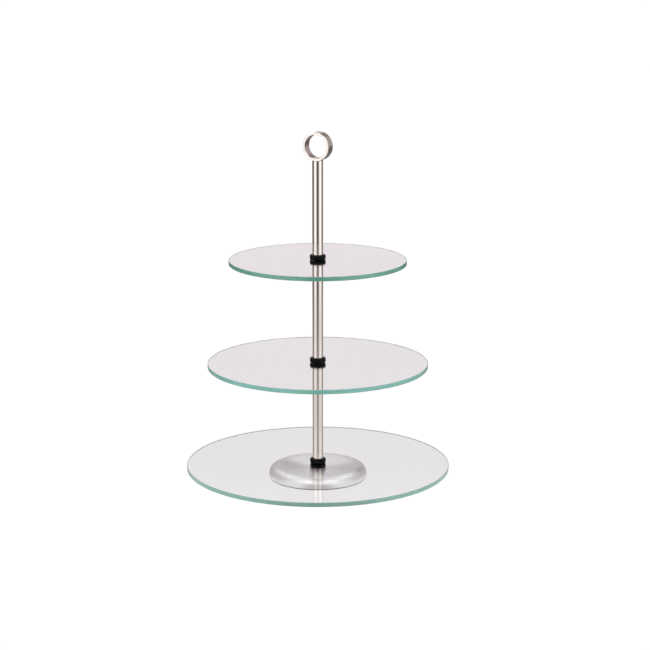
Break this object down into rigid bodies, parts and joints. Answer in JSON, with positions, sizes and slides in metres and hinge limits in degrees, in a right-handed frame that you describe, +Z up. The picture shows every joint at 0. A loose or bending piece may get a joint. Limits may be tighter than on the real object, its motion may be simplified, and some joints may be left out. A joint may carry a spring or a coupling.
{
  "type": "tiered cake stand",
  "caption": "Tiered cake stand: round glass plates of decreasing size on a screwed brushed steel post, with rubber bushes, a low domed base and a ring handle.",
  "frame": {"origin": "centre of the base's underside, on the surface that the stand rests on", "axes": "+Z up along the post; the ring handle's axis lies along Y"},
  "size_m": [0.3, 0.3, 0.4008],
  "materials": {
    "clear_glass": "clear float glass with polished edges that look green",
    "brushed_steel": "fine brushed stainless steel",
    "plated_steel": "zinc plated, satin",
    "black_rubber": "smooth moulded black rubber"
  },
  "bodies": {
    "base": {"base_shell": "brushed_steel", "foot_ring": "black_rubber", "base_stiffener": "plated_steel", "base_bolt": "plated_steel", "base_flat_washer": "plated_steel", "base_spring_washer": "plated_steel", "base_nut": "plated_steel", "bottom_lower_bush": "black_rubber"},
    "bottom_plate": {"bottom_plate": "clear_glass"},
    "bottom_upper_bush": {"bottom_upper_bush": "black_rubber"},
    "lower_post": {"lower_post_tube": "brushed_steel", "lower_post_bottom_insert": "plated_steel", "lower_post_top_insert": "plated_steel", "lower_post_stud": "plated_steel", "middle_lower_bush": "black_rubber"},
    "middle_plate": {"middle_plate": "clear_glass"},
    "middle_upper_bush": {"middle_upper_bush": "black_rubber"},
    "middle_post": {"middle_post_tube": "brushed_steel", "middle_post_bottom_insert": "plated_steel", "middle_post_top_insert": "plated_steel", "middle_post_stud": "plated_steel", "top_lower_bush": "black_rubber"},
    "top_plate": {"top_plate": "clear_glass"},
    "top_upper_bush": {"top_upper_bush": "black_rubber"},
    "upper_post": {"upper_post_tube": "brushed_steel", "upper_post_bottom_insert": "plated_steel", "upper_post_top_insert": "plated_steel", "handle_stud": "plated_steel", "handle_ring": "brushed_steel"}
  },
  "joints": [
    {"name": "bottom_plate_turn", "type": "hinge", "parent": "base", "child": "bottom_plate", "pos_m": [0, 0, 0], "axis": [0, 0, 1], "continuous": true},
    {"name": "lower_post_lift", "type": "slide", "parent": "base", "child": "bottom_upper_bush", "axis": [0, 0, 1], "range_m": [0, 0.0089]},
    {"name": "lower_post_screw", "type": "hinge", "parent": "bottom_upper_bush", "child": "lower_post", "pos_m": [0, 0, 0], "axis": [0, 0, 1], "range_deg": [0, 3210]},
    {"name": "middle_plate_turn", "type": "hinge", "parent": "lower_post", "child": "middle_plate", "pos_m": [0, 0, 0], "axis": [0, 0, 1], "continuous": true},
    {"name": "middle_post_lift", "type": "slide", "parent": "lower_post", "child": "middle_upper_bush", "axis": [0, 0, 1], "range_m": [0, 0.0089]},
    {"name": "middle_post_screw", "type": "hinge", "parent": "middle_upper_bush", "child": "middle_post", "pos_m": [0, 0, 0], "axis": [0, 0, 1], "range_deg": [0, 3210]},
    {"name": "top_plate_turn", "type": "hinge", "parent": "middle_post", "child": "top_plate", "pos_m": [0, 0, 0], "axis": [0, 0, 1], "continuous": true},
    {"name": "upper_post_lift", "type": "slide", "parent": "middle_post", "child": "top_upper_bush", "axis": [0, 0, 1], "range_m": [0, 0.0089]},
    {"name": "upper_post_screw", "type": "hinge", "parent": "top_upper_bush", "child": "upper_post", "pos_m": [0, 0, 0], "axis": [0, 0, 1], "range_deg": [0, 3210]}
  ],
  "couplings": [
    {"joint": "lower_post_screw", "follows": "lower_post_lift", "rad_per_m": 6283.2},
    {"joint": "middle_post_screw", "follows": "middle_post_lift", "rad_per_m": 6283.2},
    {"joint": "upper_post_screw", "follows": "upper_post_lift", "rad_per_m": 6283.2}
  ]
}
